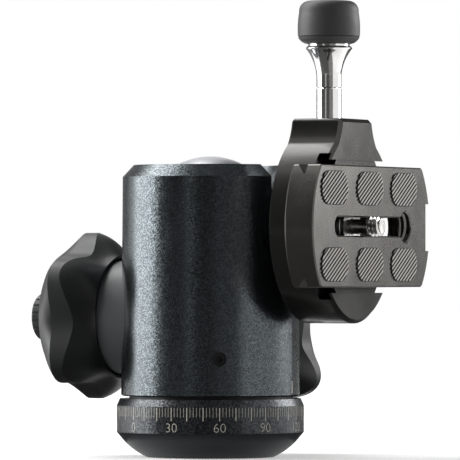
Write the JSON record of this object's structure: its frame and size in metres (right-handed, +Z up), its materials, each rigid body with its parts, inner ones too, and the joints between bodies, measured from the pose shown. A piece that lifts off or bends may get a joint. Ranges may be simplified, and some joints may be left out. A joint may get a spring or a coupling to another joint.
{
  "type": "tripod ball head",
  "caption": "Ball head with a drop notch, panorama base with degree scale, lobed ball lock and panorama knobs, and a screw clamp that holds a sliding camera plate.",
  "frame": {"origin": "centre of the foot's bottom face, at the mouth of the tripod thread", "axes": "+Z up along the panorama axis, +X from the ball towards the camera plate, in the drop notch's direction"},
  "size_m": [0.1222, 0.0978, 0.1454],
  "materials": {
    "foot_black": "satin black",
    "ring_paint": "sparkling dark grey hammer paint",
    "body_paint": "metallic dark grey paint",
    "bare_aluminium": "machined",
    "bearing_plastic": "smooth",
    "glide_plastic": "black, smooth",
    "stainless": "turned",
    "spring_steel": "oiled",
    "black_steel": "black oxide",
    "brass": "machined",
    "knob_plastic": "soft satin",
    "collar_plastic": "satin",
    "ball_finish": "satin hard anodised",
    "clamp_anodised": "satin black anodised",
    "plate_anodised": "bead blasted dark anodised",
    "chrome": "polished",
    "grip_rubber": "matte",
    "pad_rubber": "ribbed"
  },
  "bodies": {
    "base": {"base_plate": "foot_black", "thread_insert": "stainless", "scale_ring": "ring_paint", "pan_spindle": "bare_aluminium", "base_screws": "stainless", "glide_ring": "glide_plastic"},
    "housing": {"housing": "body_paint", "upper_seat_ring": "bearing_plastic", "snap_ring": "spring_steel", "support_disc": "bare_aluminium", "set_screws": "black_steel", "main_bush": "brass", "knob_collar": "collar_plastic", "thrust_washer": "bearing_plastic", "pan_bush": "brass"},
    "ball_cup": {"ball_cup": "bearing_plastic"},
    "lock_wedge": {"lock_wedge": "brass"},
    "ball_lock_knob": {"main_knob": "knob_plastic", "main_shaft": "stainless", "shaft_clip": "spring_steel"},
    "friction_dial": {"friction_dial": "knob_plastic"},
    "pan_lock_knob": {"pan_knob": "knob_plastic", "pan_shaft": "stainless"},
    "pan_shoe": {"pan_shoe": "brass"},
    "ball": {"ball": "ball_finish"},
    "clamp": {"stem": "ball_finish", "clamp_body": "clamp_anodised", "fixed_jaw": "clamp_anodised", "jaw_pins": "spring_steel", "clamp_screw": "black_steel", "locating_pins": "spring_steel", "stalk_sleeve": "chrome"},
    "sliding_jaw": {"sliding_jaw": "clamp_anodised"},
    "clamp_knob": {"clamp_spindle": "chrome", "spindle_clip": "spring_steel", "clamp_grip": "grip_rubber"},
    "camera_plate": {"camera_plate": "plate_anodised", "grip_pad_1": "pad_rubber", "grip_pad_2": "pad_rubber", "grip_pad_3": "pad_rubber", "grip_pad_4": "pad_rubber", "grip_pad_5": "pad_rubber", "grip_pad_6": "pad_rubber"},
    "screw_washer": {"slot_washer": "stainless"},
    "camera_screw": {"camera_screw": "stainless"}
  },
  "joints": [
    {"name": "pan_turn", "type": "hinge", "parent": "base", "child": "housing", "pos_m": [0, 0, 0], "axis": [0, 0, 1], "continuous": true},
    {"name": "ball_lock_turn", "type": "hinge", "parent": "housing", "child": "ball_lock_knob", "pos_m": [0, 0, 0.0446], "axis": [-1, 0, 0], "range_deg": [0, 540]},
    {"name": "wedge_slide", "type": "slide", "parent": "housing", "child": "lock_wedge", "axis": [-1, 0, 0], "range_m": [0, 0.0015]},
    {"name": "cup_slide", "type": "slide", "parent": "housing", "child": "ball_cup", "axis": [0, 0, -1], "range_m": [0, 0.000375]},
    {"name": "friction_dial_turn", "type": "hinge", "parent": "ball_lock_knob", "child": "friction_dial", "pos_m": [0, 0, 0.0446], "axis": [-1, 0, 0], "range_deg": [-140, 140]},
    {"name": "pan_lock_turn", "type": "hinge", "parent": "housing", "child": "pan_lock_knob", "pos_m": [0, 0, 0.0316], "axis": [0, 1, 0], "range_deg": [0, 180]},
    {"name": "pan_shoe_slide", "type": "slide", "parent": "housing", "child": "pan_shoe", "axis": [0, 1, 0], "range_m": [0, 0.00035]},
    {"name": "ball_swing", "type": "hinge", "parent": "housing", "child": "ball", "pos_m": [0, 0, 0.07355], "axis": [0, -1, 0], "range_deg": [0, 115]},
    {"name": "ball_spin", "type": "hinge", "parent": "ball", "child": "clamp", "pos_m": [0, 0, 0.07355], "axis": [1, 0, 0], "continuous": true},
    {"name": "clamp_knob_turn", "type": "hinge", "parent": "clamp", "child": "clamp_knob", "pos_m": [0.04135, 0, 0.07355], "axis": [0, 0, 1], "range_deg": [0, 1080]},
    {"name": "jaw_slide", "type": "slide", "parent": "clamp", "child": "sliding_jaw", "axis": [0, 0, 1], "range_m": [0, 0.003]},
    {"name": "plate_slide", "type": "slide", "parent": "clamp", "child": "camera_plate", "axis": [0, 1, 0], "range_m": [-0.065, 0.065]},
    {"name": "screw_slide", "type": "slide", "parent": "camera_plate", "child": "screw_washer", "axis": [0, 1, 0], "range_m": [-0.0231, 0.0311]},
    {"name": "camera_screw_turn", "type": "hinge", "parent": "screw_washer", "child": "camera_screw", "pos_m": [0.055, -0.0049, 0.07355], "axis": [1, 0, 0], "continuous": true}
  ],
  "couplings": [
    {"joint": "wedge_slide", "follows": "ball_lock_turn", "m_per_rad": 0.00015915},
    {"joint": "cup_slide", "follows": "ball_lock_turn", "m_per_rad": 0.000039681},
    {"joint": "pan_shoe_slide", "follows": "pan_lock_turn", "m_per_rad": 0.0001114},
    {"joint": "jaw_slide", "follows": "clamp_knob_turn", "m_per_rad": 0.00015915}
  ]
}
